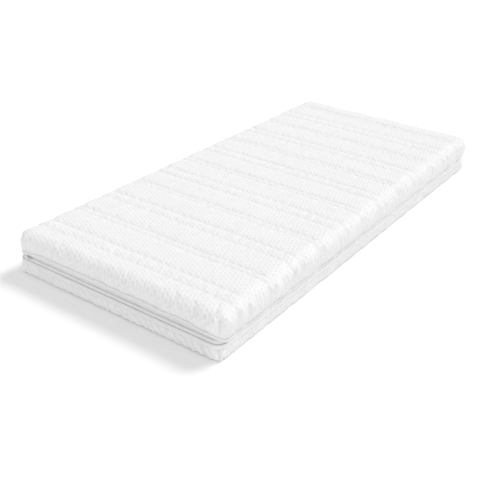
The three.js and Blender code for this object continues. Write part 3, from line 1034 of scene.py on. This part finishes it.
linerSock = linerPart("inner_liner_sock", True, cut - core["linerGap"])
linerPanel = linerPart("inner_liner_end", False, cut)
finishSheet(linerSock, "core", "inner_liner")
finishSheet(linerPanel, "core", "liner_end_panel")
print("liner and foam made")


def repeatTree():
    # small rods at even steps along a path, with a cord through them where it has a radius
    tree = bpy.data.node_groups.new("rods_on_path", "GeometryNodeTree")
    tree.interface.new_socket("Geometry", in_out="INPUT", socket_type="NodeSocketGeometry")
    for label, kind, value in (("Spacing", "Float", 0.004), ("Rod length", "Float", 0.003),
                               ("Rod radius", "Float", 0.0004), ("Cord radius", "Float", 0.0),
                               ("Unevenness", "Float", 0.08), ("Seed", "Int", 1),
                               ("Turn", "Vector", (0, 0, 0)), ("Finish", "Material", None)):
        socket = tree.interface.new_socket(label, in_out="INPUT", socket_type="NodeSocket" + kind)
        if value is not None:
            socket.default_value = value
    tree.interface.new_socket("Geometry", in_out="OUTPUT", socket_type="NodeSocketGeometry")

    def add(kind, sockets, **settings):
        # sockets gives each input what it is linked to, or its number
        node = tree.nodes.new(kind)
        for label, value in settings.items():
            setattr(node, label, value)
        for socket, source in sockets.items():
            if isinstance(source, bpy.types.NodeSocket):
                tree.links.new(source, node.inputs[socket])
            else:
                node.inputs[socket].default_value = source
        return node.outputs

    given = tree.nodes.new("NodeGroupInput").outputs
    curve = add("GeometryNodeMeshToCurve", {"Mesh": given["Geometry"]})[0]
    upright = add("GeometryNodeSetCurveNormal", {"Curve": curve}, mode="Z_UP")[0]
    steps = add("GeometryNodeCurveToPoints", {"Curve": upright, "Length": given["Spacing"]}, mode="LENGTH")
    rod = add("GeometryNodeMeshCylinder", {"Vertices": 6, "Depth": given["Rod length"],
                                           "Radius": given["Rod radius"]})
    turned = add("GeometryNodeTransform", {"Geometry": rod["Mesh"], "Rotation": given["Turn"]})[0]
    less = add("ShaderNodeMath", {0: 1.0, 1: given["Unevenness"]}, operation="SUBTRACT")[0]
    more = add("ShaderNodeMath", {0: 1.0, 1: given["Unevenness"]}, operation="ADD")[0]
    size = add("FunctionNodeRandomValue", {2: less, 3: more, "Seed": given["Seed"]}, data_type="FLOAT")[1]
    rods = add("GeometryNodeInstanceOnPoints", {"Points": steps["Points"], "Instance": turned,
                                                "Rotation": steps["Rotation"], "Scale": size})[0]
    ring = add("GeometryNodeCurvePrimitiveCircle", {"Resolution": 5, "Radius": given["Cord radius"]})[0]
    cord = add("GeometryNodeCurveToMesh", {"Curve": upright, "Profile Curve": ring, "Fill Caps": True})[0]
    wanted = add("FunctionNodeCompare", {0: given["Cord radius"], 1: 1e-6},
                 data_type="FLOAT", operation="GREATER_THAN")[0]
    chosen = add("GeometryNodeSwitch", {"Switch": wanted, "True": cord}, input_type="GEOMETRY")[0]
    both = tree.nodes.new("GeometryNodeJoinGeometry")
    for part in (rods, chosen):
        tree.links.new(part, both.inputs[0])
    real = add("GeometryNodeRealizeInstances", {"Geometry": both.outputs[0]})[0]
    shaded = add("GeometryNodeSetShadeSmooth", {"Geometry": real})[0]
    finished = add("GeometryNodeSetMaterial", {"Geometry": shaded, "Material": given["Finish"]})[0]
    add("NodeGroupOutput", {"Geometry": finished})
    return tree


rodTree = repeatTree()
rodInputs = {item.name: item.identifier for item in rodTree.interface.items_tree if item.in_out == "INPUT"}
rodSettings = {"Spacing": "pitch", "Rod length": "length", "Rod radius": "radius", "Cord radius": "cord",
               "Unevenness": "unevenness", "Seed": "seed", "Turn": "turn"}


def rodsAlong(name, paths, body, closed, settings, finish):
    # paths is a list of point rows; the rods become one plain mesh that rides on the body
    points, edges = [], []
    for path in paths:
        first = len(points)
        points += [tuple(p) for p in path]
        edges += [(first + k, first + k + 1) for k in range(len(path) - 1)]
        if closed:
            edges.append((first + len(path) - 1, first))
    mesh = bpy.data.meshes.new(name + "_path")
    mesh.from_pydata(points, edges, [])
    guide = bpy.data.objects.new(name + "_path", mesh)
    scene.collection.objects.link(guide)
    modifier = guide.modifiers.new("rods", "NODES")
    modifier.node_group = rodTree
    for label, key in rodSettings.items():
        modifier[rodInputs[label]] = settings[key]
    modifier[rodInputs["Finish"]] = finish
    result = bpy.data.meshes.new_from_object(guide.evaluated_get(bpy.context.evaluated_depsgraph_get()))
    result.name = name
    piece = bpy.data.objects.new(name, result)
    scene.collection.objects.link(piece)
    bpy.data.objects.remove(guide)
    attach(piece, body)
    print(name, len(result.polygons), "faces")
    return piece


coilTeeth = {
    "pitch": 0.0020,
    "length": 0.0024,
    "radius": 0.00075,
    "cord": 0.0005,
    "unevenness": 0.02,
    "seed": 3,
    "turn": (rightAngle, 0.0, 0.22),
    "inset": 0.0063,
    "upper": 0.0741,            # height of each coil's middle
    "lower": 0.0699,
}

for half, body in halves:
    path = outlineRow(fine, coilTeeth["inset"], coilTeeth[half], shape["cornerRadius"])
    coil = rodsAlong(half + "_zip_coil", [path], body, True, coilTeeth, coilPlastic)
    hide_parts("zip_coil_" + half)

# Corner seams: slanting stitches over a drawn-up fold of cloth
seams = {
    "pitch": 0.0036,
    "length": 0.0034,
    "radius": 0.0009,
    "cord": 0.0011,
    "unevenness": 0.12,
    "seed": 7,
    "turn": (0.9, 0.0, 0.0),
    "proud": 0.0020,            # how far it lies outside the knit
    "upper": (0.0, upperCover["seamTop"]),
    "lower": (0.006, 1.0),      # between these heights
}


def seamPaths(skin, low, high):
    paths = []
    for at in np.nonzero(skin.columns.fromSeam < 1e-6)[0]:
        ids = np.array([row[at] for row in skin.rowIds[1:]])
        keep = ids[(skin.shaped[ids, 2] > low) & (skin.shaped[ids, 2] < high)]
        paths.append(skin.shaped[keep] + skin.normals[keep] * seams["proud"])
    return paths


corners = ("near_right", "far_right", "far_left", "near_left")
for (half, body), skin in zip(halves, (upperFine, lowerFine)):
    paths = seamPaths(skin, *seams[half])
    seam = rodsAlong(half + "_corner_seams", paths, body, False, seams, thread)
    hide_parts(*[half + "_seam_" + corner for corner in corners])

# Stitches along the quilting lines and the hems
stitch = {
    "pitch": 0.0042,
    "length": 0.0032,
    "radius": 0.00042,
    "cord": 0.0,
    "unevenness": 0.08,
    "seed": 9,
    "turn": (0.0, 0.0, 0.0),
    "proud": 0.0002,
}


def crossLine(skin, y):
    # the skin's points along one quilting line: up one long side, across and down the other
    columns = skin.columns
    gridY = np.linspace(-1, 1, columns.along + 1) * abs(skin.points[:skin.gridCount, 1]).max()
    at = int(np.clip(np.searchsorted(gridY, y) - 1, 0, columns.along - 1))
    share = (y - gridY[at]) / (gridY[at + 1] - gridY[at])
    left = 2 * columns.corner + columns.along + columns.across + (columns.along - at)
    index = np.arange(skin.gridCount).reshape(columns.across + 1, -1)
    sides = np.stack(skin.rowIds[1:])
    before = np.concatenate([sides[::-1, at], index[::-1, at], sides[:, left]])
    after = np.concatenate([sides[::-1, at + 1], index[::-1, at + 1], sides[:, left - 1]])
    proud = skin.shaped + skin.normals * stitch["proud"]
    return proud[before] * (1 - share) + proud[after] * share


for (half, body), skin in zip(halves, (upperFine, lowerFine)):
    lines = [crossLine(skin, y) for y in stitchLines]
    rodsAlong(half + "_quilting_thread", lines, body, False, stitch, thread)

outward = np.column_stack([np.cos(fine.turn), np.sin(fine.turn), np.zeros(fine.count)])
for (half, body), rows in zip(halves, (upperHemRows, lowerHemRows)):
    path = rows[-1] + outward * stitch["proud"]          # just outside the hem's upper front edge
    rodsAlong(half + "_hem_stitches", [path], body, True, stitch, thread)

for node, metal in (("zip_slider", sliderMetal), ("zip_pull_tab", tabMetal)):
    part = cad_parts[node]
    part.data.materials.clear()
    part.data.materials.append(metal)
print("stitches, coils, seams and slider made")

# Camera, light and floor
studio = {
    "cameraPlace": (1.55825, -2.54663, 1.44153),
    "cameraTurn": (0.814051, 0.495092, 0.141568, 0.268633),
    "lens": 58.192,
    "sensorWidth": 36,
    "floorReach": 60.0,
    "floorTint": 0.97,
    "skyStrength": 0.61,
    "lights": (                 # name, strength, where the light comes from, spread in radians
        ("back_softbox", 1.50, (0.28, 0.95, 1.20), 0.4),
        ("right_softbox", 0.68, (0.80, -1.0, 1.0), 0.25),
    ),
}

cameraData = bpy.data.cameras.new("studio_camera")
cameraData.lens = studio["lens"]
cameraData.sensor_width = studio["sensorWidth"]
camera = bpy.data.objects.new("studio_camera", cameraData)
camera.rotation_mode = "QUATERNION"
camera.location = studio["cameraPlace"]
camera.rotation_quaternion = Quaternion(studio["cameraTurn"])
scene.collection.objects.link(camera)
scene.camera = camera

for name, strength, place, spread in studio["lights"]:
    lightData = bpy.data.lights.new(name, "SUN")
    lightData.energy = strength
    lightData.angle = spread
    light = bpy.data.objects.new(name, lightData)
    light.location = place
    light.rotation_mode = "QUATERNION"
    light.rotation_quaternion = (-Vector(place)).to_track_quat("-Z", "Y")
    scene.collection.objects.link(light)

world = bpy.data.worlds.new("studio_sky")
world.use_nodes = True
sky = world.node_tree.nodes["Background"].inputs
sky["Color"].default_value = (1, 1, 1, 1)
sky["Strength"].default_value = studio["skyStrength"]
scene.world = world
scene.view_settings.view_transform = "Standard"

floorMaterial, _, _, floorShader = nodeTree("pale_floor")
floorShader.inputs["Base Color"].default_value = (*[studio["floorTint"]] * 3, 1)
floorShader.inputs["Roughness"].default_value = 0.9
floorShader.inputs["Specular IOR Level"].default_value = 0.1
floorCorners = np.array([(-1, -1, 0), (1, -1, 0), (1, 1, 0), (-1, 1, 0)]) * studio["floorReach"]
floor = newPiece("floor", floorCorners, [(0, 1, 2, 3)], material=floorMaterial)
print("studio made")
